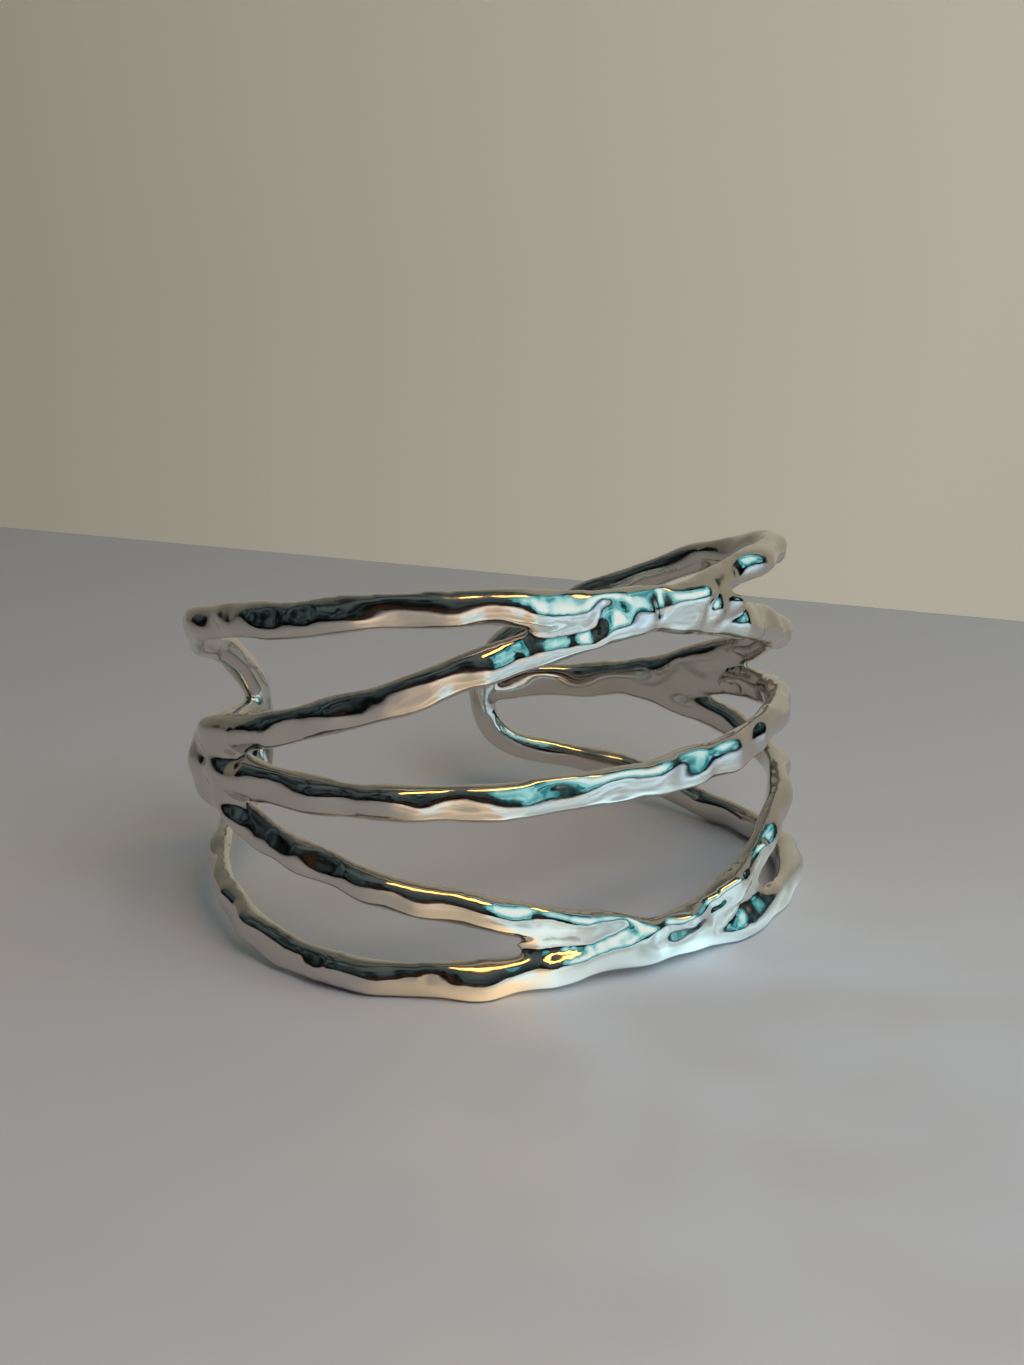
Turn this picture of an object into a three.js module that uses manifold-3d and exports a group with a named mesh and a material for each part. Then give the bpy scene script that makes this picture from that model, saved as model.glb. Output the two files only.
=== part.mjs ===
// An open cuff bangle, cast in one piece: two rims joined by a bar at each end of the opening, and three
// strands between them that run together on each side. All of it lies on one upright oval wall.
// Millimetres, +Z up, standing on its lower rim. The opening for the wrist's edge is at +Y.

import * as THREE from 'three';
import { mergeVertices } from 'three/addons/utils/BufferGeometryUtils.js';
import Module from 'manifold-3d';

// ---- driving dimensions -------------------------------------------------------------------------

const OVAL_LENGTH = 64;          // outside, along X
const OVAL_DEPTH = 54;           // outside, along Y
const OVAL_POWER = 2.1;          // 2 is an ellipse, more is a squarer oval
const STRAND_DEPTH = 2.2;        // through the wall
const CROWN_SHARE = 0.58;        // share of that depth outside the wall's middle, where a strand is domed
const LEAN = new THREE.Vector2(-0.047, 0.038); // how far the hand-formed wall leans for each mm of height

const SECTION_STEP = 2.2;        // between two sections of a strand
const SECTION_SIDES = 10;
const CROWN_ROUND = 0.8;         // 1 is an elliptical dome, less is a fuller one
const BACK_ROUND = 0.6;
const END_TAPER = 0.7;           // a strand's buried end, as a share of its full section

// The molten surface: each strand's section swings, swells and drifts as it goes.
const SWING = { degrees: 11, length: 9.5 };
const SWELL = { share: 0.05, length: 7.3 };
const DRIFT = { height: 0.12, length: 13 };
const GOLDEN = 2.399963;         // keeps the waves of two strands out of step

const FLOOR_SIZE = 120;
const FLOOR_DEPTH = 10;

// ---- the strands --------------------------------------------------------------------------------
// turn: degrees round the oval from +X, so that -90 is the middle of the front
// up:   height of the strand's middle
// wide: its width along the wall
// out:  how far it stands out from the wall's middle

const COLUMNS = ['turn', 'up', 'wide', 'out'];

// The rim is a closed loop: up the right end bar, round the top, down the left end bar, round the bottom.
const RIM = [
  [62.3, 12.5, 2.8, 0],
  [61.8, 15.4, 2.8, 0],
  [59.4, 17.6, 2.9, 0],
  [54, 19.7, 3.1, 0],
  [46, 22.0, 3.3, 0],
  [36, 24.7, 3.4, 0],
  [25, 26.7, 3.4, 0],
  [14, 29.0, 3.4, 0],
  [4, 30.8, 3.4, 0],
  [-8, 32.7, 3.4, -0.2],
  [-20, 34.2, 3.3, -0.4],
  [-32, 35.4, 3.2, -0.5],
  [-46, 36.5, 3.2, -0.5],
  [-60, 37.1, 3.2, -0.2],
  [-70, 37.0, 3.2, 0],
  [-80, 36.2, 3.3, 0.2],
  [-90, 35.5, 3.8, 0.3],
  [-100, 35.6, 4.2, 0.1],
  [-110, 36.2, 4.1, 0.1],
  [-121, 36.9, 3.5, 0],
  [-135, 36.9, 3.4, 0],
  [-150, 36.2, 3.4, 0],
  [-165, 35.0, 3.5, 0],
  [-180, 33.7, 3.3, 0],
  [-193, 32.2, 3.3, 0],
  [-206, 30.1, 3.4, 0],
  [-218, 27.6, 3.4, 0],
  [-229.5, 25.2, 3.4, 0],
  [-236.5, 23.2, 3.3, 0],
  [-240.5, 20.5, 3.2, 0],
  [-242.3, 17.2, 3.2, 0],
  [-242, 13.4, 3.2, 0],
  [-239.5, 10.0, 3.2, 0],
  [-233, 7.9, 3.2, 0],
  [-222, 6.7, 3.2, 0],
  [-210, 5.6, 3.4, 0],
  [-198, 4.4, 3.7, 0],
  [-186, 3.2, 3.9, 0],
  [-174, 2.2, 3.8, 0],
  [-160, 1.7, 3.6, 0],
  [-146, 1.7, 3.6, 0],
  [-132, 1.8, 3.7, 0],
  [-120, 2.3, 3.9, 0],
  [-108, 2.8, 4.1, 0],
  [-96, 3.1, 4.0, 0],
  [-86, 2.5, 3.8, 0],
  [-74, 1.8, 3.4, 0.2],
  [-60, 1.65, 3.5, 0.4],
  [-44, 1.65, 3.5, 0.2],
  [-24, 1.6, 3.4, 0],
  [-8, 1.6, 3.3, 0],
  [4, 1.9, 3.4, 0],
  [16, 3.0, 3.5, 0],
  [28, 4.4, 3.4, 0],
  [40, 5.3, 3.1, 0],
  [49, 6.1, 3.0, 0],
  [56, 7.3, 3.0, 0],
  [60.5, 9.5, 2.9, 0],
];

// From the left knot up the front into the top rim, out of it again and down to the right knot.
const UPPER_STRAND = [
  [-207, 17.8, 3.2, 0],
  [-199, 20.0, 3.6, 0.5],
  [-191, 21.5, 3.8, 0.5],
  [-184, 22.2, 4.0, 0.2],
  [-177, 23.3, 3.6, 0],
  [-168, 24.7, 3.4, 0],
  [-156, 26.4, 3.5, 0],
  [-144, 28.3, 3.5, 0],
  [-132, 30.4, 3.5, 0],
  [-121, 32.3, 3.6, 0],
  [-111, 33.5, 3.6, 0],
  [-102, 34.6, 3.6, 0.2],
  [-94, 35.0, 3.6, 0.2],
  [-86, 34.0, 3.6, 0],
  [-78, 32.8, 3.6, -0.1],
  [-70, 32.0, 3.8, -0.1],
  [-61, 30.7, 3.8, -0.2],
  [-52, 29.0, 3.6, -0.4],
  [-42, 27.6, 3.5, -0.4],
  [-31, 26.0, 3.4, -0.3],
  [-20, 24.2, 3.4, 0],
  [-10, 22.0, 3.5, 0],
  [0, 20.1, 3.6, 0],
  [10, 18.2, 3.6, 0],
  [20, 16.6, 3.4, 0],
  [28, 15.6, 3.2, 0],
];

// The same route mirrored: down the front into the bottom rim, out of it and up to the right knot.
const LOWER_STRAND = [
  [-207, 17.2, 3.2, 0],
  [-199, 16.2, 3.6, 0.5],
  [-191, 15.3, 3.7, 0.4],
  [-184, 14.5, 3.7, 0.1],
  [-177, 13.7, 3.6, 0],
  [-168, 12.8, 3.5, 0],
  [-156, 11.4, 3.4, 0],
  [-144, 10.1, 3.4, 0],
  [-132, 8.8, 3.5, 0],
  [-122, 7.6, 3.5, 0],
  [-112, 6.3, 3.6, 0],
  [-102, 4.7, 3.6, 0.2],
  [-94, 3.7, 3.6, 0.2],
  [-86, 4.1, 3.6, 0],
  [-78, 5.3, 3.6, 0],
  [-70, 6.7, 3.6, 0],
  [-60, 8.8, 3.4, -0.2],
  [-50, 10.4, 3.3, -0.4],
  [-40, 11.1, 3.2, -0.5],
  [-28, 11.4, 3.2, -0.2],
  [-16, 11.8, 3.3, 0],
  [-4, 12.7, 3.5, 0],
  [8, 13.7, 3.6, 0],
  [18, 14.4, 3.4, 0],
  [28, 14.7, 3.2, 0],
];

// Level from end bar to end bar, through both knots.
const MIDDLE_STRAND = [
  [-242.3, 17.0, 3.2, 0],
  [-232, 17.0, 3.2, 0],
  [-220, 17.1, 3.4, 0],
  [-208, 17.6, 3.9, 0.5],
  [-198, 18.1, 4.1, 1.0],
  [-189, 18.4, 4.2, 0.6],
  [-181, 18.6, 4.6, 0.1],
  [-172, 18.7, 4.2, 0],
  [-160, 18.8, 3.8, 0],
  [-140, 18.9, 3.5, 0],
  [-120, 19.1, 3.6, 0],
  [-100, 19.2, 3.6, 0],
  [-80, 19.3, 3.9, 0],
  [-64, 19.6, 4.0, -0.2],
  [-50, 19.9, 3.8, -0.4],
  [-38, 19.7, 3.6, -0.4],
  [-26, 19.1, 3.5, -0.1],
  [-14, 18.3, 3.5, 0],
  [-4, 17.6, 3.6, 0],
  [8, 16.8, 4.0, 0],
  [20, 15.8, 4.2, 0],
  [32, 15.1, 4.2, 0],
  [46, 14.7, 4.0, 0],
  [56, 14.4, 4.1, 0],
  [61.5, 13.8, 3.5, 0],
];

// ---- the oval wall ------------------------------------------------------------------------------

const WALL_A = OVAL_LENGTH / 2 - STRAND_DEPTH * CROWN_SHARE;
const WALL_B = OVAL_DEPTH / 2 - STRAND_DEPTH * CROWN_SHARE;

const signedPower = (value, power) => Math.sign(value) * Math.abs(value) ** power;

// The point of the wall's middle at a turn and a height, and the direction out of the wall there.
function wallPoint(turn, up) {
  const angle = THREE.MathUtils.degToRad(turn);
  const x = signedPower(Math.cos(angle), 2 / OVAL_POWER);
  const y = signedPower(Math.sin(angle), 2 / OVAL_POWER);
  const point = new THREE.Vector3(WALL_A * x + LEAN.x * up, WALL_B * y + LEAN.y * up, up);
  const outward = new THREE.Vector3(
    signedPower(x, OVAL_POWER - 1) / WALL_A,
    signedPower(y, OVAL_POWER - 1) / WALL_B,
    0,
  ).normalize();
  return { point, outward };
}

// ---- a strand's route ---------------------------------------------------------------------------

// Evenly spaced stations along the smooth curve through a table's rows.
function strandStations(table, closed) {
  const overlap = closed ? 3 : 0;
  const rows = [...table.slice(table.length - overlap), ...table, ...table.slice(0, overlap)];
  const width = COLUMNS.length;
  const spots = rows.map(([turn, up]) => wallPoint(turn, up).point);
  const lengths = [0];
  for (let i = 1; i < rows.length; i += 1) lengths.push(lengths[i - 1] + spots[i].distanceTo(spots[i - 1]));
  const curve = new THREE.CubicInterpolant(lengths, rows.flat(), width, new Float32Array(width));
  const start = lengths[overlap];
  const end = closed ? lengths[overlap + table.length] : lengths[rows.length - 1];
  const count = Math.round((end - start) / SECTION_STEP);
  return Array.from({ length: closed ? count : count + 1 }, (_, i) => {
    const along = start + ((end - start) * i) / count;
    const [turn, up, wide, out] = curve.evaluate(along);
    return { along: along - start, total: end - start, turn, up, wide, out };
  });
}

// One wave of a strand: a whole number of waves fits a closed strand.
const wave = (station, length, phase) => {
  const waves = Math.round(station.total / length);
  return Math.sin((2 * Math.PI * waves * station.along) / station.total + phase);
};

// The points of one section: a dome outside the wall's middle and a flatter back inside it.
function sectionPoints(station, previous, next, seed, scale) {
  const { point, outward } = wallPoint(station.turn, station.up);
  const tangent = new THREE.Vector3().subVectors(next, previous).normalize();
  const across = new THREE.Vector3().crossVectors(outward, tangent).normalize();
  const roll = THREE.MathUtils.degToRad(SWING.degrees) * wave(station, SWING.length, seed);
  const swell = 1 + SWELL.share * wave(station, SWELL.length, seed * 2);
  const drift = DRIFT.height * wave(station, DRIFT.length, seed * 3);
  const crown = STRAND_DEPTH * CROWN_SHARE * scale;
  const back = STRAND_DEPTH * (1 - CROWN_SHARE) * scale;
  return Array.from({ length: SECTION_SIDES }, (_, k) => {
    const angle = (2 * Math.PI * k) / SECTION_SIDES;
    const sine = Math.sin(angle);
    const u = (station.wide / 2) * swell * scale * Math.cos(angle) + drift;
    const v = sine > 0 ? crown * sine ** CROWN_ROUND : -back * Math.abs(sine) ** BACK_ROUND;
    return point.clone()
      .addScaledVector(across, u * Math.cos(roll) - v * Math.sin(roll))
      .addScaledVector(outward, u * Math.sin(roll) + v * Math.cos(roll) + station.out);
  });
}

// A closed tube of sections, as a geometry whose faces point outwards.
function strandGeometry(table, { closed = false, seed }) {
  const stations = strandStations(table, closed);
  const count = stations.length;
  const middles = stations.map(({ turn, up }) => wallPoint(turn, up).point);
  const rings = stations.map((station, i) => {
    const previous = middles[closed ? (i + count - 1) % count : Math.max(i - 1, 0)];
    const next = middles[closed ? (i + 1) % count : Math.min(i + 1, count - 1)];
    const isEnd = !closed && (i === 0 || i === count - 1);
    return sectionPoints(station, previous, next, seed, isEnd ? END_TAPER : 1);
  });
  const points = rings.flat();
  const faces = [];
  const corner = (ring, side) => (ring % count) * SECTION_SIDES + (side % SECTION_SIDES);
  for (let ring = 0; ring < (closed ? count : count - 1); ring += 1) {
    for (let side = 0; side < SECTION_SIDES; side += 1) {
      faces.push(corner(ring, side), corner(ring, side + 1), corner(ring + 1, side + 1));
      faces.push(corner(ring, side), corner(ring + 1, side + 1), corner(ring + 1, side));
    }
  }
  if (!closed) {
    for (let side = 1; side < SECTION_SIDES - 1; side += 1) {
      faces.push(corner(0, 0), corner(0, side + 1), corner(0, side));
      faces.push(corner(count - 1, 0), corner(count - 1, side), corner(count - 1, side + 1));
    }
  }
  const geometry = new THREE.BufferGeometry().setFromPoints(points);
  geometry.setIndex(faces);
  return geometry;
}

// ---- joining ------------------------------------------------------------------------------------

const wasm = await Module();
wasm.setup();

function toSolid(geometry) {
  const bare = geometry.clone();
  bare.deleteAttribute('normal');
  bare.deleteAttribute('uv');
  const merged = mergeVertices(bare);
  return new wasm.Manifold(new wasm.Mesh({
    numProp: 3,
    vertProperties: new Float32Array(merged.attributes.position.array),
    triVerts: new Uint32Array(merged.index.array),
  }));
}

function toGeometry(solid) {
  const mesh = solid.getMesh();
  const geometry = new THREE.BufferGeometry();
  geometry.setAttribute('position', new THREE.BufferAttribute(mesh.vertProperties, 3));
  geometry.setIndex(new THREE.BufferAttribute(mesh.triVerts, 1));
  return geometry;
}

// What lies below the table's surface is cut off, which leaves the small flats that the cuff rests on.
function floorBlock() {
  const block = new THREE.BoxGeometry(FLOOR_SIZE, FLOOR_SIZE, FLOOR_DEPTH);
  return block.translate(0, 0, -FLOOR_DEPTH / 2);
}

function cuffGeometry() {
  const strands = [
    strandGeometry(RIM, { closed: true, seed: GOLDEN }),
    strandGeometry(UPPER_STRAND, { seed: 2 * GOLDEN }),
    strandGeometry(LOWER_STRAND, { seed: 3 * GOLDEN }),
    strandGeometry(MIDDLE_STRAND, { seed: 4 * GOLDEN }),
  ];
  const joined = strands.map(toSolid).reduce((sum, solid) => sum.add(solid));
  const geometry = toGeometry(joined.subtract(toSolid(floorBlock())));
  geometry.computeBoundingBox();
  const middle = geometry.boundingBox.getCenter(new THREE.Vector3());
  geometry.translate(-middle.x, -middle.y, 0);
  geometry.computeVertexNormals();
  return geometry;
}

// ---- the part -----------------------------------------------------------------------------------

const polishedPlate = new THREE.MeshStandardMaterial({ color: 0xc9cccd, metalness: 1, roughness: 0.08 });

const cuff = new THREE.Mesh(cuffGeometry(), polishedPlate);
cuff.name = 'cuff';

const bangle = new THREE.Group();
bangle.add(cuff);

export default bangle;
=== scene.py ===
"""An open cuff bangle, cast in one piece and plated, standing on a pale table in a soft studio."""

import math

import bmesh
import bpy
from mathutils import Matrix, Vector
from mathutils.kdtree import KDTree


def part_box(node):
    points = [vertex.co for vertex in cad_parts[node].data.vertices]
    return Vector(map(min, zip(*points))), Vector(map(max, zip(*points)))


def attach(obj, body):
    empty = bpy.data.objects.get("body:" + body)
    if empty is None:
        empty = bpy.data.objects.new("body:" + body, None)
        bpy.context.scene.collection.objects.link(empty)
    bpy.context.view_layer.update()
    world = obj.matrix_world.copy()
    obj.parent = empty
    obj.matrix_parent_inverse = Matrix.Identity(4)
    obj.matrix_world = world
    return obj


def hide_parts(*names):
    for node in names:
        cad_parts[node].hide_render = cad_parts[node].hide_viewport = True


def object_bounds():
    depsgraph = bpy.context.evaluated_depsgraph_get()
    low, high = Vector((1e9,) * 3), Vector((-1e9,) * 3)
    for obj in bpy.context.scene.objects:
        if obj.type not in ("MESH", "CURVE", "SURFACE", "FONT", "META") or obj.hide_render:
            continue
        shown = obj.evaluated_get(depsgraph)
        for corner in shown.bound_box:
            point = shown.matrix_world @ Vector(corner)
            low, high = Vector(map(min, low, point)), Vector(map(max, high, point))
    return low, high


bl_info = {
    "name": "Molten Cuff Bangle",
    "version": (1, 0, 0),
    "blender": (4, 5, 0),
    "location": "View3D > Sidebar > Cuff",
    "description": "Casts, plates and stages an open cuff bangle of woven molten strands",
    "category": "Object",
}

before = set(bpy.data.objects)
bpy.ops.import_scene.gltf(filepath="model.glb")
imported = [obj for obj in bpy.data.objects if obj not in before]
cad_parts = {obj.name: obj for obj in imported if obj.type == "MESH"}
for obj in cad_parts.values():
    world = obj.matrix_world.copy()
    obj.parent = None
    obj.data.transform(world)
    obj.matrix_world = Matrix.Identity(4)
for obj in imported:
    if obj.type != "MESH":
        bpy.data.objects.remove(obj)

MM = 0.001
CAST_NODE = "cuff"
CAD_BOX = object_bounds()
BODY = "root"

# about half-way up the cuff, where the lights aim
MIDDLE = Vector((0, 0, 20 * MM))
# the middle of the cuff's oval, which isn't the middle of its box, because the oval is open
OVAL_MIDDLE = Vector((0.843 * MM, 1.011 * MM, 0))


# ---- colours and nodes ----------------------------------------------------------------------


def colour(code):
    """An sRGB hex value such as #c9c4bb as Blender's linear colour."""
    channels = [int(code[i : i + 2], 16) / 255 for i in (1, 3, 5)]
    linear = [c / 12.92 if c <= 0.04045 else ((c + 0.055) / 1.055) ** 2.4 for c in channels]
    return (*linear, 1.0)


def add_node(tree, kind, settings=None, links=None):
    """A node with its settings and socket values, and with links from other nodes' sockets.
    Sockets that share a name go by their number."""
    node = tree.nodes.new(kind)
    for name, value in (settings or {}).items():
        if isinstance(name, int) or name in node.inputs:
            node.inputs[name].default_value = value
        else:
            setattr(node, name, value)
    for name, socket in (links or {}).items():
        tree.links.new(socket, node.inputs[name])
    return node


def set_stops(ramp, stops):
    """Gives a colour ramp its stops, each a position and a colour, from the lowest up."""
    elements = ramp.color_ramp.elements
    elements[0].position, elements[0].color = stops[0][0], colour(stops[0][1])
    elements[1].position, elements[1].color = stops[-1][0], colour(stops[-1][1])
    for position, code in stops[1:-1]:
        elements.new(position).color = colour(code)


def empty_material(name):
    material = bpy.data.materials.new(name)
    material.use_nodes = True
    material.node_tree.nodes.clear()
    return material


# ---- what a user may change -----------------------------------------------------------------


class CastingSettings(bpy.types.PropertyGroup):
    """The shape of the cast metal."""

    grain: bpy.props.FloatProperty(
        name="Grain",
        description="Size of the mesh cells that the metal is cast in",
        default=0.31 * MM,
        min=0.2 * MM,
        unit="LENGTH",
    )
    melting: bpy.props.IntProperty(
        name="Melting",
        description="How many times the surface is smoothed as it flows together",
        default=22,
        min=0,
    )
    regrowth: bpy.props.FloatProperty(
        name="Regrowth",
        description="How far the surface grows again after the smoothing made it thinner",
        default=0.2 * MM,
        unit="LENGTH",
    )
    roll: bpy.props.FloatProperty(
        name="Roll",
        description="Strength of the long waves that roll along the strands",
        default=1.8 * MM,
        unit="LENGTH",
    )
    roll_spacing: bpy.props.FloatProperty(
        name="Roll spacing",
        description="Distance from one long wave to the next",
        default=4.4 * MM,
        unit="LENGTH",
    )
    pucker: bpy.props.FloatProperty(
        name="Pucker",
        description="Strength of the small folds between the waves",
        default=0.13 * MM,
        unit="LENGTH",
    )
    pucker_spacing: bpy.props.FloatProperty(
        name="Pucker spacing",
        description="Distance from one small fold to the next",
        default=1.7 * MM,
        unit="LENGTH",
    )
    inside_share: bpy.props.FloatProperty(
        name="Inside share",
        description="How strong the waves are inside the cuff, as a share of those outside",
        default=0.3,
        subtype="FACTOR",
    )
    burnishing: bpy.props.IntProperty(
        name="Burnishing",
        description="How many times the surface is smoothed after the tool has marked it",
        default=6,
        min=0,
    )


class PlatingSettings(bpy.types.PropertyGroup):
    """The finish of the plated metal."""

    metal: bpy.props.StringProperty(
        name="Metal", description="Colour of the bright plating", default="#d6d1c9"
    )
    polish: bpy.props.FloatProperty(
        name="Polish",
        description="Roughness of the polished plating",
        default=0.09,
        subtype="FACTOR",
    )


class StageSettings(bpy.types.PropertyGroup):
    """The table, the wall and the camera."""

    heading: bpy.props.FloatProperty(
        name="Heading",
        description="Direction that the camera looks in, turned left from the cuff's +Y",
        default=math.radians(-39),
        subtype="ANGLE",
    )
    pitch: bpy.props.FloatProperty(
        name="Pitch",
        description="How far the camera looks down",
        default=math.radians(15.69),
        subtype="ANGLE",
    )
    distance: bpy.props.FloatProperty(
        name="Distance",
        description="From the camera to the middle of the cuff's oval, along the table",
        default=202.9 * MM,
        unit="LENGTH",
    )
    height: bpy.props.FloatProperty(
        name="Height",
        description="Height of the camera above the table",
        default=79.4 * MM,
        unit="LENGTH",
    )
    lens: bpy.props.FloatProperty(
        name="Lens", description="Focal length in millimetres", default=54.07
    )
    table_cloth: bpy.props.StringProperty(
        name="Table", description="Colour of the pale table", default="#c7c8cd"
    )
    wall_paint: bpy.props.StringProperty(
        name="Wall", description="Colour of the wall behind", default="#fff3dc"
    )


# ---- the casting ----------------------------------------------------------------------------


def select_only(piece):
    bpy.ops.object.select_all(action="DESELECT")
    piece.select_set(True)
    bpy.context.view_layer.objects.active = piece


def copy_node(node, name):
    """The CAD node's shape as a new piece, with its loose triangles merged."""
    piece = bpy.data.objects.new(name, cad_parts[node].data.copy())
    piece.data.materials.clear()
    bpy.context.scene.collection.objects.link(piece)
    select_only(piece)
    bpy.ops.object.mode_set(mode="EDIT")
    bpy.ops.mesh.select_all(action="SELECT")
    bpy.ops.mesh.remove_doubles(threshold=0.001 * MM)
    bpy.ops.object.mode_set(mode="OBJECT")
    return piece


def apply_to(piece, kind, **settings):
    """A modifier with its settings, applied at once."""
    select_only(piece)
    modifier = piece.modifiers.new(kind.title(), kind)
    for name, value in settings.items():
        setattr(modifier, name, value)
    bpy.ops.object.modifier_apply(modifier=modifier.name)


def clouds(name, size):
    texture = bpy.data.textures.new(name, "CLOUDS")
    texture.noise_scale = size
    texture.noise_depth = 0
    texture.noise_basis = "ORIGINAL_PERLIN"
    return texture


# Where strands run together, the metal has filled the corner of the fork. Turns are counted in
# degrees round Z from +X, and all the rest is in millimetres. A web is so long along the wall, so
# high and so deep through the wall, and its middle is sunk so far under the outside.
WEB_COLUMNS = ("turn", "up", "long", "high", "deep", "sunk")
WEBS = (
    (-122.5, 4.8, 5.5, 1.5, 1.2, 1.6),
    (-69.5, 4.8, 6.0, 2.6, 1.2, 1.2),
    (-63.0, 6.2, 4.5, 3.8, 2.3, 1.4),
    (-62.5, 3.4, 5.0, 3.4, 2.3, 1.4),
    (-75.5, 34.3, 6.0, 2.2, 1.2, 1.1),
)

# The strokes of the modelling tool in the wax. Each draws a line in the skin in (-) or out (+),
# and its reach is how far to each side the wax follows.
STROKE_COLUMNS = ("turn", "up", "turn_to", "up_to", "push", "reach")
STROKES = (
    # the fold where the upper strand slips under the rim
    (-125.5, 33.9, -113.0, 34.3, -0.35, 1.9),
    (-113.0, 34.3, -109.8, 36.2, -0.45, 1.4),
    (-124.0, 36.3, -114.5, 36.2, 0.35, 1.6),
    (-125.5, 32.8, -112.0, 33.1, 0.3, 1.3),
    (-110.0, 34.0, -104.0, 35.0, 0.3, 1.5),
    # swellings and waists along the joined band
    (-109.5, 37.8, -105.5, 36.4, -0.15, 1.3),
    (-103.5, 36.6, -97.5, 36.4, 0.35, 1.6),
    (-96.0, 37.3, -95.5, 35.4, -0.25, 1.1),
    (-93.5, 35.8, -84.0, 36.6, 0.4, 1.7),
    (-76.0, 33.4, -71.5, 33.0, -0.3, 1.6),
    (-76.0, 31.8, -60.0, 30.2, 0.3, 1.3),
    # the fold where the lower strand sinks into the bottom rim, and the rim's ridge under it
    (-121.0, 4.7, -104.5, 5.3, -0.5, 1.7),
    (-121.0, 3.1, -105.0, 3.9, 0.45, 1.5),
    (-122.0, 8.0, -112.0, 7.4, 0.25, 1.6),
    # the beaded ridge and the hollows of the plate at the lower right
    (-98.0, 4.9, -88.0, 5.3, 0.3, 1.0),
    (-88.0, 5.3, -80.0, 6.3, 0.35, 0.9),
    (-80.0, 6.3, -73.5, 7.0, 0.4, 0.8),
    (-73.0, 7.2, -72.5, 7.3, 0.4, 0.8),
    (-60.8, 8.8, -60.3, 9.0, 0.4, 0.9),
    (-78.5, 2.6, -71.0, 2.7, -0.45, 1.3),
    (-79.0, 4.6, -71.0, 4.6, 0.3, 1.1),
    (-63.0, 6.4, -52.0, 7.0, -0.5, 1.6),
    (-94.0, 2.0, -93.0, 4.5, -0.3, 1.6),
    # the folds and the pit of the left knot
    (-176.0, 22.3, -186.0, 20.0, -0.5, 1.2),
    (-180.5, 15.7, -188.0, 15.3, -0.5, 1.2),
    (-193.6, 19.3, -194.0, 19.0, -0.5, 1.3),
    # small hollows along the upper halves of the left strands
    (-183.5, 34.9, -181.5, 35.2, -0.25, 1.2),
    (-174.0, 35.3, -170.5, 35.6, -0.3, 1.2),
    (-166.0, 36.3, -164.0, 36.5, -0.25, 1.1),
    (-171.5, 24.0, -167.5, 24.8, -0.35, 1.4),
    (-174.0, 14.4, -171.0, 14.0, -0.3, 1.3),
    (-164.0, 13.0, -161.0, 12.7, -0.3, 1.3),
    (-168.0, 3.2, -165.0, 3.4, -0.25, 1.2),
    (-144.0, 2.6, -140.0, 2.6, -0.3, 1.4),
)


def outward(turn):
    angle = math.radians(turn)
    return Vector((math.cos(angle), math.sin(angle), 0))


def wall_place(turn, up, sunk=0):
    """A place in the wall of the cuff, so deep under the outside of its oval."""
    low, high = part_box(CAST_NODE)
    half_x, half_y = (high[0] - low[0]) / 2, (high[1] - low[1]) / 2
    level = outward(turn)
    radius = 1 / math.hypot(level.x / half_x, level.y / half_y) - sunk * MM
    return level * radius + Vector((0, 0, up * MM))


def add_web(turn, up, long, high, deep, sunk):
    """A rounded filling in the corner of a fork, lying in the cuff's wall."""
    bpy.ops.object.select_all(action="DESELECT")
    bpy.ops.mesh.primitive_ico_sphere_add(subdivisions=4, radius=0.5 * MM)
    web = bpy.context.active_object
    web.data.transform(Matrix.Diagonal((deep, long, high, 1)))
    web.data.transform(Matrix.Rotation(math.radians(turn), 4, "Z"))
    web.data.transform(Matrix.Translation(wall_place(turn, up, sunk)))
    return web


def mark_faces(piece, inside_share):
    """A vertex group that holds the broad faces of the strands, and less of them inside the cuff,
    but not their edges, so that waves change how the metal shines and leave its outline calm."""
    group = piece.vertex_groups.new(name="broad_faces")
    for vertex in piece.data.vertices:
        level = Vector((vertex.co.x, vertex.co.y, 0)).normalized()
        facing = vertex.normal.dot(level)
        weight = facing if facing > 0 else -facing * inside_share
        group.add([vertex.index], weight, "REPLACE")
    return group.name


def draw_strokes(piece, strokes, step):
    """Draws the tool's strokes in the skin, one after the other."""
    tree = KDTree(len(piece.data.vertices))
    for vertex in piece.data.vertices:
        tree.insert(vertex.co, vertex.index)
    tree.balance()
    select_only(piece)
    bpy.ops.object.mode_set(mode="EDIT")
    bpy.ops.mesh.select_mode(type="VERT")
    skin = bmesh.from_edit_mesh(piece.data)
    skin.verts.ensure_lookup_table()
    for row in strokes:
        stroke = dict(zip(STROKE_COLUMNS, row))
        start = wall_place(stroke["turn"], stroke["up"])
        end = wall_place(stroke["turn_to"], stroke["up_to"])
        steps = max(1, math.ceil((end - start).length / step))
        bpy.ops.mesh.select_all(action="DESELECT")
        for i in range(steps + 1):
            skin.verts[tree.find(start.lerp(end, i / steps))[1]].select_set(True)
        skin.select_flush_mode()
        halfway = outward((stroke["turn"] + stroke["turn_to"]) / 2)
        bpy.ops.transform.translate(
            value=halfway * stroke["push"] * MM,
            use_proportional_edit=True,
            use_proportional_connected=False,
            proportional_edit_falloff="SMOOTH",
            proportional_size=stroke["reach"] * MM,
        )
    bpy.ops.object.mode_set(mode="OBJECT")


def lift_foot(piece):
    """Lifts the piece onto the table, if its surface has grown down past it."""
    lowest = min(vertex.co.z for vertex in piece.data.vertices)
    piece.data.transform(Matrix.Translation((0, 0, max(0.0, -lowest))))


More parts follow.
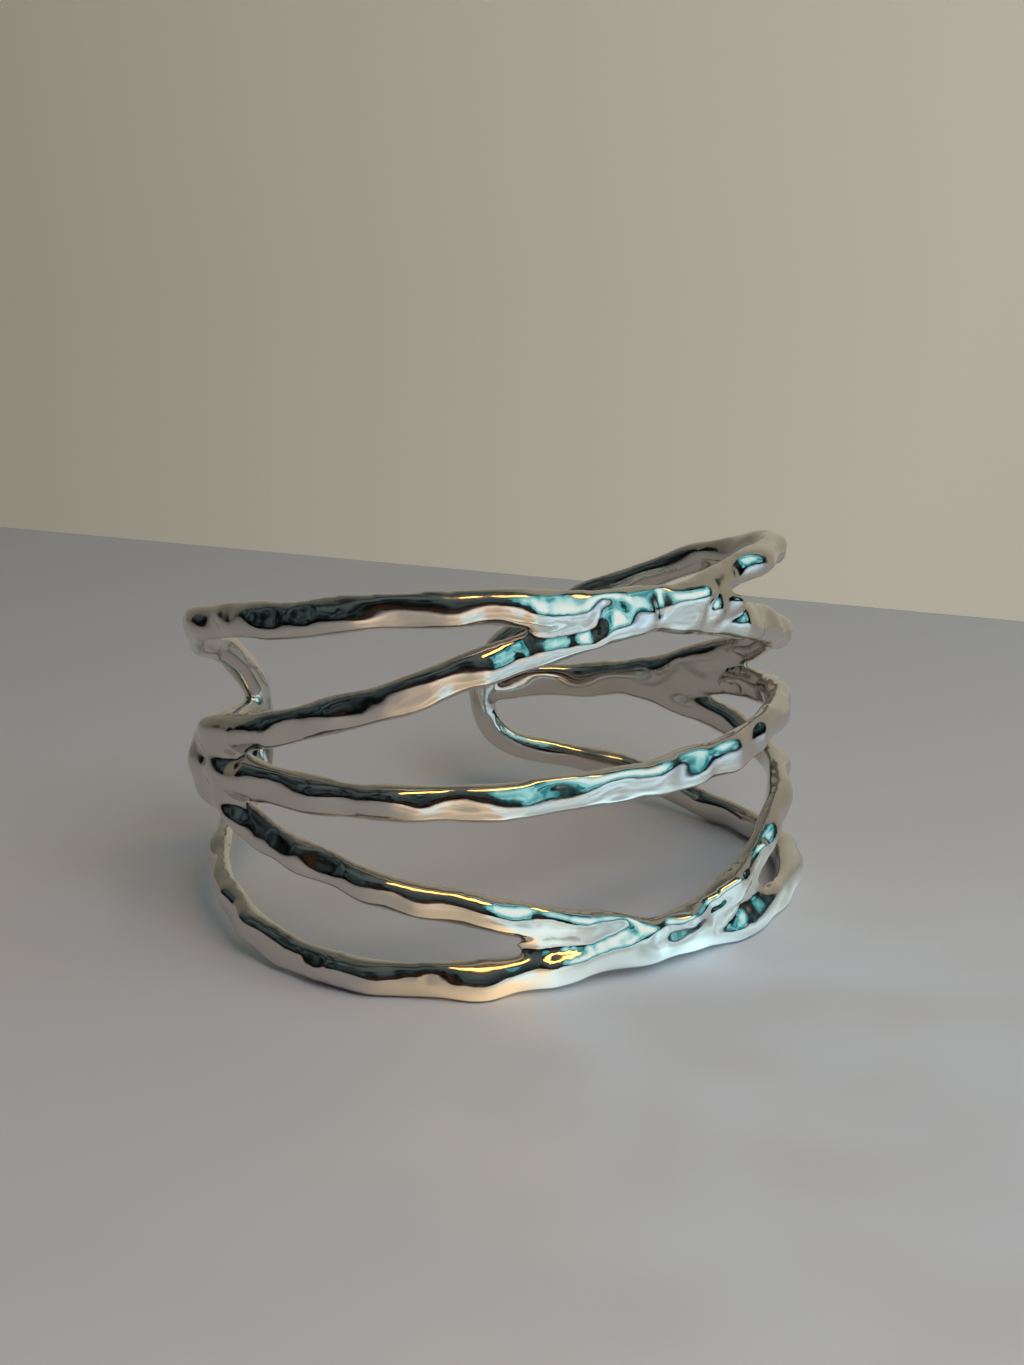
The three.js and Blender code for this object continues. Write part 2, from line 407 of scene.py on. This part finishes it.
class CUFF_OT_cast(bpy.types.Operator):
    """Casts the cuff: its strands flow together, and waves and the tool's marks run over them"""

    bl_idname = "cuff.cast"
    bl_label = "Cast the cuff"

    def execute(self, context):
        casting = context.scene.cuff_casting
        cuff = copy_node(CAST_NODE, "cuff_casting")
        webs = [add_web(**dict(zip(WEB_COLUMNS, row))) for row in WEBS]
        apply_to(cuff, "SUBSURF", levels=2, render_levels=2)
        select_only(cuff)
        for web in webs:
            web.select_set(True)
        bpy.ops.object.join()
        apply_to(cuff, "REMESH", mode="VOXEL", voxel_size=casting.grain)
        apply_to(cuff, "SMOOTH", factor=0.5, iterations=casting.melting)
        apply_to(cuff, "DISPLACE", strength=casting.regrowth, mid_level=0.0)
        faces = mark_faces(cuff, casting.inside_share)
        for name, spacing, strength in (
            ("roll", casting.roll_spacing, casting.roll),
            ("pucker", casting.pucker_spacing, casting.pucker),
        ):
            apply_to(
                cuff,
                "DISPLACE",
                texture=clouds(name, spacing),
                texture_coords="LOCAL",
                vertex_group=faces,
                strength=strength,
                mid_level=0.5,
            )
        draw_strokes(cuff, STROKES, casting.grain)
        apply_to(cuff, "SMOOTH", factor=0.5, iterations=casting.burnishing)
        lift_foot(cuff)
        bpy.ops.object.shade_smooth()
        cuff.data.materials.append(polished_plate(context.scene.cuff_plating))
        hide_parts(CAST_NODE)
        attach(cuff, BODY)
        return {"FINISHED"}


# ---- the finish -----------------------------------------------------------------------------

# The ripple and the bloom of the plating, in waves per millimetre, and how much smoother and
# rougher than the polish the bloom leaves it.
RIPPLES = 0.9
BLOOMS = 0.26
BRIGHTEST = 0.7
DULLEST = 2.2


def polished_plate(plating):
    """Bright silver-toned plating over a polished zinc casting: a mirror, with a faint ripple left
    by hand polishing and a fine bloom where the wheel didn't reach."""
    material = empty_material("polished_silver_plate")
    tree = material.node_tree
    place = add_node(tree, "ShaderNodeTexCoord").outputs["Object"]
    ripple = add_node(
        tree, "ShaderNodeTexNoise", {"Scale": RIPPLES / MM, "Detail": 1.0}, {"Vector": place}
    )
    bump = add_node(
        tree,
        "ShaderNodeBump",
        {"Strength": 0.35, "Distance": 0.04 * MM},
        {"Height": ripple.outputs["Fac"]},
    )
    bloom = add_node(
        tree, "ShaderNodeTexNoise", {"Scale": BLOOMS / MM, "Detail": 3.0}, {"Vector": place}
    )
    polish = add_node(
        tree,
        "ShaderNodeMapRange",
        {
            "From Min": 0.35,
            "From Max": 0.75,
            "To Min": plating.polish * BRIGHTEST,
            "To Max": plating.polish * DULLEST,
        },
        {"Value": bloom.outputs["Fac"]},
    )
    shader = add_node(
        tree,
        "ShaderNodeBsdfPrincipled",
        {"Base Color": colour(plating.metal), "Metallic": 1.0},
        {"Roughness": polish.outputs["Result"], "Normal": bump.outputs["Normal"]},
    )
    add_node(tree, "ShaderNodeOutputMaterial", links={"Surface": shader.outputs["BSDF"]})
    return material


# ---- the table and the wall -----------------------------------------------------------------

# The table ends a little way behind the cuff, along a line turned from the camera's, and the wall
# stands further back. Lengths are in metres, and both distances are from the middle of the cuff.
# The middle of the wall is so high above the table.
TABLE_SIZE = 1.6
TABLE_BEHIND = 0.14
TABLE_TURN = math.radians(22.8)
WALL_SIZE = 3.0
WALL_BEHIND = 0.7
WALL_MIDDLE = 0.5

# How the painted daylight spreads over the wall, as a glow of the paint itself: from so many
# metres left of the cuff to so many right of it, its strength goes from the first value to the
# second. A metre up counts as a quarter of a metre to the left.
PAINTED_DAYLIGHT = {"From Min": -0.38, "From Max": 0.2, "To Min": 0.09, "To Max": 0.3}
PAINTED_DAYLIGHT_DROP = 0.25


def add_plane(name, size):
    bpy.ops.object.select_all(action="DESELECT")
    bpy.ops.mesh.primitive_plane_add(size=size)
    plane = bpy.context.active_object
    plane.name = name
    return plane


def pale_cloth(code):
    """Satin cloth drawn plain: pale and matt from most sides, with no weave or folds."""
    material = empty_material("pale_cloth")
    tree = material.node_tree
    shader = add_node(
        tree, "ShaderNodeBsdfPrincipled", {"Base Color": colour(code), "Roughness": 0.6}
    )
    add_node(tree, "ShaderNodeOutputMaterial", links={"Surface": shader.outputs["BSDF"]})
    return material


def wall_with_painted_daylight(forward, code):
    """Matt wall paint with painted daylight: the paint glows by itself, falling off softly towards
    the left and the top.
    """
    material = empty_material("wall_with_painted_daylight")
    tree = material.node_tree
    place = add_node(tree, "ShaderNodeTexCoord").outputs["Object"]
    right = forward.cross(Vector((0, 0, 1)))
    across = add_node(
        tree,
        "ShaderNodeVectorMath",
        {"operation": "DOT_PRODUCT", 1: right - Vector((0, 0, PAINTED_DAYLIGHT_DROP))},
        {0: place},
    )
    # painted daylight: the paint's own glow, brighter to the right and lower down
    daylight = add_node(
        tree, "ShaderNodeMapRange", PAINTED_DAYLIGHT, {"Value": across.outputs["Value"]}
    )
    shader = add_node(
        tree,
        "ShaderNodeBsdfPrincipled",
        {"Base Color": colour(code), "Roughness": 0.9, "Emission Color": colour(code)},
        {"Emission Strength": daylight.outputs["Result"]},
    )
    add_node(tree, "ShaderNodeOutputMaterial", links={"Surface": shader.outputs["BSDF"]})
    return material


def add_table(stage):
    table = add_plane("table", TABLE_SIZE)
    table.data.transform(Matrix.Translation((0, TABLE_BEHIND - TABLE_SIZE / 2, 0)))
    table.data.transform(Matrix.Rotation(stage.heading - TABLE_TURN, 4, "Z"))
    table.data.materials.append(pale_cloth(stage.table_cloth))
    return table


def add_wall(stage, forward):
    wall = add_plane("wall", WALL_SIZE)
    wall.data.transform(Matrix.Rotation(math.radians(90), 4, "X"))
    wall.data.transform(Matrix.Translation((0, WALL_BEHIND, WALL_MIDDLE)))
    wall.data.transform(Matrix.Rotation(stage.heading, 4, "Z"))
    wall.data.materials.append(wall_with_painted_daylight(forward, stage.wall_paint))
    return wall


# ---- what the metal mirrors -----------------------------------------------------------------

# The curtain's folds per metre, how much they show, and how bright it glows. Its light falls off
# from its middle, to nothing at its size divided by CURTAIN_FALL, which is just past its edges,
# and its colour follows that fall.
CURTAIN_FOLDS = 9.0
CURTAIN_UNEVENNESS = 0.5
CURTAIN_GLOW = 1.3
CURTAIN_FALL = 1.9
CURTAIN_STOPS = (
    (0.12, "#0b3c4c"),
    (0.24, "#2f8c99"),
    (0.36, "#96dbe2"),
    (0.5, "#cdeef3"),
    (0.75, "#eaf8fa"),
)

# The painted sheen of the cloth: a glowing card that only the metal's reflections see. Its colour
# goes by the turn from the camera's side, in degrees.
PAINTED_SHEEN_SIZE = 0.6
PAINTED_SHEEN_LIFT = 0.2 * MM
PAINTED_SHEEN_TURNS = (
    (-31, "#000000"),
    (-17, "#695530"),
    (-6, "#a58d66"),
    (3, "#b59c74"),
    (9, "#b3ced4"),
    (20, "#b3ced4"),
    (33, "#8cb4c2"),
    (58, "#9bc3d2"),
    (80, "#6f8486"),
    (105, "#000000"),
)
# Its strength goes by the reach from the middle, which is 1 at the cuff's foot: none inside the
# cuff, none far out, and most close to the foot.
PAINTED_SHEEN_COLUMNS = ("From Min", "From Max", "To Min", "To Max")
PAINTED_SHEEN_REACHES = (
    (0.8, 1.0, 0.0, 1.0),
    (3.5, 8.0, 1.0, 0.0),
    (1.05, 1.4, 1.7, 0.85),
)
# The patches of the painted sheen per millimetre, and how uneven they make its glow.
PAINTED_SHEEN_PATCHES = 0.07
PAINTED_SHEEN_PATCHINESS = {"From Min": 0.35, "From Max": 0.65, "To Min": 0.45, "To Max": 1.7}


def around(stage, turn, reach, height):
    """A place round the cuff: turn is counted from the camera's side towards its right."""
    angle = stage.heading + math.radians(turn) - math.pi / 2
    return Vector((math.cos(angle) * reach, math.sin(angle) * reach, height))


def ring_share(turn):
    """A turn from the camera's side as a share of the full ring that the gradient counts in."""
    return 0.25 + turn / 360


def curtained_window(size):
    """A thin blue curtain with daylight behind it: bright in its middle, deep blue-green towards
    its edges."""
    material = empty_material("curtained_window")
    tree = material.node_tree
    spot = add_node(tree, "ShaderNodeTexCoord").outputs["Object"]
    folds = add_node(
        tree, "ShaderNodeTexNoise", {"Scale": CURTAIN_FOLDS, "Detail": 1.0}, {"Vector": spot}
    )
    middle = add_node(
        tree,
        "ShaderNodeMapping",
        {"Scale": (CURTAIN_FALL / size[0], CURTAIN_FALL / size[1], 1.0)},
        {"Vector": spot},
    )
    fall = add_node(
        tree,
        "ShaderNodeTexGradient",
        {"gradient_type": "QUADRATIC_SPHERE"},
        {"Vector": middle.outputs["Vector"]},
    )
    uneven = add_node(
        tree,
        "ShaderNodeMath",
        {"operation": "MULTIPLY_ADD", 1: CURTAIN_UNEVENNESS},
        {0: folds.outputs["Fac"], 2: fall.outputs["Fac"]},
    )
    ramp = add_node(tree, "ShaderNodeValToRGB", links={"Fac": uneven.outputs["Value"]})
    set_stops(ramp, CURTAIN_STOPS)
    glow = add_node(
        tree, "ShaderNodeEmission", {"Strength": CURTAIN_GLOW}, {"Color": ramp.outputs["Color"]}
    )
    add_node(tree, "ShaderNodeOutputMaterial", links={"Surface": glow.outputs["Emission"]})
    return material


def add_window(place, size):
    """A broad window, well to the right of the camera, that faces the cuff."""
    window = add_plane("window", 1.0)
    window.data.transform(Matrix.Diagonal((size[0], size[1], 1, 1)))
    window.data.materials.append(curtained_window(size))
    window.location = place
    window.rotation_euler = (MIDDLE - place).to_track_quat("Z", "Y").to_euler()
    window.visible_camera = False
    return window


def painted_satin_sheen(stage):
    """A painted reflection of the cloth's shine. It is a glow, beige on the camera's side and pale
    blue to its right, that the metal mirrors as if satin threw the lamps' light on towards it and
    not back to the camera. It adds to what lies under it."""
    material = empty_material("painted_satin_sheen")
    tree = material.node_tree
    place = add_node(tree, "ShaderNodeTexCoord").outputs["Object"]
    turned = add_node(
        tree, "ShaderNodeMapping", {"Rotation": (0, 0, -stage.heading)}, {"Vector": place}
    )
    turn = add_node(
        tree,
        "ShaderNodeTexGradient",
        {"gradient_type": "RADIAL"},
        {"Vector": turned.outputs["Vector"]},
    )
    ramp = add_node(tree, "ShaderNodeValToRGB", links={"Fac": turn.outputs["Fac"]})
    set_stops(ramp, [(ring_share(degrees), code) for degrees, code in PAINTED_SHEEN_TURNS])
    half_x, half_y = CAD_BOX[1][:2]
    foot = add_node(
        tree, "ShaderNodeMapping", {"Scale": (1 / half_x, 1 / half_y, 0)}, {"Vector": place}
    )
    reach = add_node(
        tree,
        "ShaderNodeVectorMath",
        {"operation": "LENGTH"},
        {"Vector": foot.outputs["Vector"]},
    )
    shares = [
        add_node(
            tree,
            "ShaderNodeMapRange",
            dict(zip(PAINTED_SHEEN_COLUMNS, row)),
            {"Value": reach.outputs["Value"]},
        )
        for row in PAINTED_SHEEN_REACHES
    ]
    # patches in the glow of the painted sheen
    sheen_patches = add_node(
        tree, "ShaderNodeTexNoise", {"Scale": PAINTED_SHEEN_PATCHES / MM, "Detail": 1.0}, {"Vector": place}
    )
    sheen_patchiness = add_node(
        tree, "ShaderNodeMapRange", PAINTED_SHEEN_PATCHINESS, {"Value": sheen_patches.outputs["Fac"]}
    )
    strength = shares[0].outputs["Result"]
    for share in (*shares[1:], sheen_patchiness):
        product = add_node(
            tree,
            "ShaderNodeMath",
            {"operation": "MULTIPLY"},
            {0: strength, 1: share.outputs["Result"]},
        )
        strength = product.outputs["Value"]
    # the painted reflection: the card glows, and only the metal's reflections see it
    shine = add_node(
        tree, "ShaderNodeEmission", links={"Color": ramp.outputs["Color"], "Strength": strength}
    )
    clear = add_node(tree, "ShaderNodeBsdfTransparent")
    both = add_node(
        tree,
        "ShaderNodeAddShader",
        links={0: clear.outputs["BSDF"], 1: shine.outputs["Emission"]},
    )
    add_node(tree, "ShaderNodeOutputMaterial", links={"Surface": both.outputs["Shader"]})
    return material


def add_painted_sheen(stage):
    """A glowing card just above the table that paints the cloth's shine as the metal sees it. Only
    reflections show it: it lights nothing and casts no shadow."""
    sheen = add_plane("painted_satin_sheen", PAINTED_SHEEN_SIZE)
    sheen.data.transform(Matrix.Translation((0, 0, PAINTED_SHEEN_LIFT)))
    sheen.data.materials.append(painted_satin_sheen(stage))
    sheen.visible_camera = False
    sheen.visible_diffuse = False
    sheen.visible_shadow = False
    return sheen


# ---- the lights, the room and the camera ----------------------------------------------------

# The colours of the room by height, from level with the cuff (0) to straight above it (1).
ROOM_STOPS = (
    (0.0, "#0d0c0b"),
    (0.1, "#0b0f10"),
    (0.22, "#303d3e"),
    (0.5, "#46555a"),
    (0.95, "#5b6664"),
)
CLUTTER = {"Scale": 3.2, "Detail": 2.0, "Roughness": 0.6}
CLUTTER_SHADE = {"From Min": 0.42, "From Max": 0.56, "To Min": 0.12, "To Max": 1.0}


def add_softbox(name, place, aim, size, glow, code, mirrored=True):
    """A rectangular softbox. Its glow is the brightness of its face, whatever its size."""
    light = bpy.data.lights.new(name, "AREA")
    light.shape = "RECTANGLE"
    light.size, light.size_y = size
    light.energy = glow * math.pi * size[0] * size[1]
    light.color = colour(code)[:3]
    box = bpy.data.objects.new(name, light)
    box.location = place
    box.rotation_euler = (aim - place).to_track_quat("-Z", "Y").to_euler()
    box.visible_glossy = mirrored
    box.visible_camera = False
    bpy.context.scene.collection.objects.link(box)


def add_pool(name, place, aim, width, power, code):
    """A pool of light on the table that the metal doesn't mirror as a lamp."""
    light = bpy.data.lights.new(name, "SPOT")
    light.energy = power
    light.color = colour(code)[:3]
    light.spot_size = 2 * math.atan(width / 2 / (aim - place).length)
    light.spot_blend = 1.0
    light.shadow_soft_size = 20 * MM
    pool = bpy.data.objects.new(name, light)
    pool.location = place
    pool.rotation_euler = (aim - place).to_track_quat("-Z", "Y").to_euler()
    pool.visible_glossy = False
    bpy.context.scene.collection.objects.link(pool)


def add_lights(stage):
    """The lamp and the card that the metal mirrors, then the lights on the table and the wall."""
    add_softbox(
        "lamp",
        place=around(stage, turn=35, reach=0.2, height=0.46),
        aim=MIDDLE,
        size=(0.34, 0.08),
        glow=5.0,
        code="#ffc36a",
    )
    add_softbox(
        "brown_card",
        place=around(stage, turn=-6, reach=0.45, height=0.08),
        aim=MIDDLE,
        size=(0.4, 0.06),
        glow=0.1,
        code="#a8653f",
    )
    add_softbox(
        "key",
        place=around(stage, turn=25, reach=0.42, height=0.38),
        aim=around(stage, turn=20, reach=0.13, height=0),
        size=(0.25, 0.25),
        glow=6.2,
        code="#f6eef8",
        mirrored=False,
    )
    add_pool(
        "warm_pool",
        place=around(stage, turn=12, reach=0.22, height=0.5),
        aim=around(stage, turn=10, reach=0.22, height=0),
        width=0.26,
        power=14.0,
        code="#ffd3a0",
    )
    add_pool(
        "cool_pool",
        place=around(stage, turn=72, reach=0.2, height=0.5),
        aim=around(stage, turn=70, reach=0.18, height=0),
        width=0.24,
        power=14.0,
        code="#a9d6ff",
    )


def set_world():
    """A dim room: dark at the height of the table and grey-green above, with darker things
    standing about."""
    world = bpy.data.worlds.new("dim_studio")
    world.use_nodes = True
    tree = world.node_tree
    tree.nodes.clear()
    place = add_node(tree, "ShaderNodeTexCoord").outputs["Generated"]
    axes = add_node(tree, "ShaderNodeSeparateXYZ", links={"Vector": place})
    ramp = add_node(tree, "ShaderNodeValToRGB", links={"Fac": axes.outputs["Z"]})
    set_stops(ramp, ROOM_STOPS)
    clutter = add_node(tree, "ShaderNodeTexNoise", CLUTTER, {"Vector": place})
    shade = add_node(
        tree, "ShaderNodeMapRange", CLUTTER_SHADE, {"Value": clutter.outputs["Fac"]}
    )
    glow = add_node(
        tree,
        "ShaderNodeBackground",
        links={"Color": ramp.outputs["Color"], "Strength": shade.outputs["Result"]},
    )
    add_node(tree, "ShaderNodeOutputWorld", links={"Surface": glow.outputs["Background"]})
    bpy.context.scene.world = world


def add_camera(stage, forward):
    camera = bpy.data.objects.new("camera", bpy.data.cameras.new("camera"))
    camera.data.lens = stage.lens
    camera.data.clip_start = 10 * MM
    camera.location = OVAL_MIDDLE - forward * stage.distance + Vector((0, 0, stage.height))
    camera.rotation_euler = (math.pi / 2 - stage.pitch, 0, stage.heading)
    bpy.context.scene.collection.objects.link(camera)
    bpy.context.scene.camera = camera


class CUFF_OT_stage(bpy.types.Operator):
    """Sets the pale table, the wall, the soft lights and the camera"""

    bl_idname = "cuff.stage"
    bl_label = "Set the stage"

    def execute(self, context):
        stage = context.scene.cuff_stage
        forward = Matrix.Rotation(stage.heading, 3, "Z") @ Vector((0, 1, 0))
        table = add_table(stage)
        wall = add_wall(stage, forward)
        window_place = around(stage, turn=66, reach=0.5, height=0.32)
        window = add_window(window_place, size=(0.78, 0.62))
        add_painted_sheen(stage)
        add_lights(stage)
        set_world()
        add_camera(stage, forward)
        context.scene.view_settings.view_transform = "Standard"
        return {"FINISHED"}


# ---- the add-on -----------------------------------------------------------------------------


class CUFF_PT_panel(bpy.types.Panel):
    """The cuff's operators"""

    bl_label = "Cuff"
    bl_space_type = "VIEW_3D"
    bl_region_type = "UI"
    bl_category = "Cuff"

    def draw(self, context):
        for operator in OPERATORS:
            self.layout.operator(operator.bl_idname)


SETTINGS = {
    "cuff_casting": CastingSettings,
    "cuff_plating": PlatingSettings,
    "cuff_stage": StageSettings,
}
OPERATORS = (CUFF_OT_cast, CUFF_OT_stage)


def register():
    for item in (*SETTINGS.values(), *OPERATORS, CUFF_PT_panel):
        bpy.utils.register_class(item)
    for name, group in SETTINGS.items():
        setattr(bpy.types.Scene, name, bpy.props.PointerProperty(type=group))


def unregister():
    for name in SETTINGS:
        delattr(bpy.types.Scene, name)
    for item in reversed((*SETTINGS.values(), *OPERATORS, CUFF_PT_panel)):
        bpy.utils.unregister_class(item)


def main():
    register()
    bpy.ops.cuff.cast()
    bpy.ops.cuff.stage()


if __name__ == "__main__":
    main()
